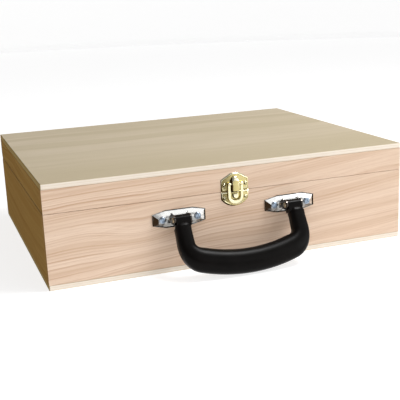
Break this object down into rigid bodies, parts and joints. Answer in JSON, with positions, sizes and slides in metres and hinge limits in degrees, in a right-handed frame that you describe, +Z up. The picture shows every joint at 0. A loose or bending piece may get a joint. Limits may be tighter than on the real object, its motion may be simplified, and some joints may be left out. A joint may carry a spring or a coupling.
{
  "type": "poker chip case",
  "caption": "Flat wooden carrying case with a hinged lid, brass loop latch and black swinging handle; inside are chip trays and card bays.",
  "frame": {"origin": "centre of the rectangular underside of the case, on the surface it stands on", "axes": "+X to the right along the front, -Y out of the front face with the handle and latch, +Z up"},
  "size_m": [0.35, 0.3208, 0.095],
  "materials": {
    "front_board_wood": "satin",
    "side_board_wood": "satin",
    "panel_plywood": "satin",
    "inner_wood": "matte",
    "lining_felt": "matte",
    "tray_plastic": "matte",
    "bracket_chrome": "polished",
    "screw_zinc": "satin",
    "handle_plastic": "satin",
    "core_steel": "satin",
    "latch_brass": "polished",
    "hinge_brass": "satin"
  },
  "bodies": {
    "base": {"bottom_panel": "panel_plywood", "base_front_board": "front_board_wood", "base_back_board": "front_board_wood", "base_left_board": "side_board_wood", "base_right_board": "side_board_wood", "tray_bearer_front": "inner_wood", "tray_bearer_back": "inner_wood", "tray_divider": "inner_wood", "card_divider_left": "inner_wood", "card_divider_right": "inner_wood", "card_bay_felt": "lining_felt", "chip_tray_left": "tray_plastic", "chip_tray_right": "tray_plastic", "handle_bracket_left": "bracket_chrome", "handle_bracket_right": "bracket_chrome", "handle_pin_left": "bracket_chrome", "handle_pin_right": "bracket_chrome", "bracket_screws": "screw_zinc", "latch_keeper_plate": "latch_brass", "latch_keeper_nails": "latch_brass", "hinge_left_base_leaf": "hinge_brass", "hinge_right_base_leaf": "hinge_brass", "hinge_left_pin": "hinge_brass", "hinge_right_pin": "hinge_brass", "hinge_base_screws": "hinge_brass"},
    "lid": {"top_panel": "panel_plywood", "lid_front_board": "front_board_wood", "lid_back_board": "front_board_wood", "lid_left_board": "side_board_wood", "lid_right_board": "side_board_wood", "lid_pad": "lining_felt", "latch_hasp_plate": "latch_brass", "latch_hasp_nails": "latch_brass", "latch_pin": "latch_brass", "hinge_left_lid_leaf": "hinge_brass", "hinge_right_lid_leaf": "hinge_brass", "hinge_lid_screws": "hinge_brass"},
    "loop": {"latch_loop": "latch_brass"},
    "handle": {"handle_grip": "handle_plastic", "handle_core": "core_steel"}
  },
  "joints": [
    {"name": "lid_hinge", "type": "hinge", "parent": "base", "child": "lid", "pos_m": [0, 0.137, 0.0685], "axis": [-1, 0, 0], "range_deg": [0, 105]},
    {"name": "loop_swing", "type": "hinge", "parent": "lid", "child": "loop", "pos_m": [0, -0.1426, 0.0755], "axis": [-1, 0, 0], "range_deg": [0, 165]},
    {"name": "handle_swing", "type": "hinge", "parent": "base", "child": "handle", "pos_m": [0, -0.1485, 0.0508], "axis": [-1, 0, 0], "range_deg": [-28, 120]}
  ]
}
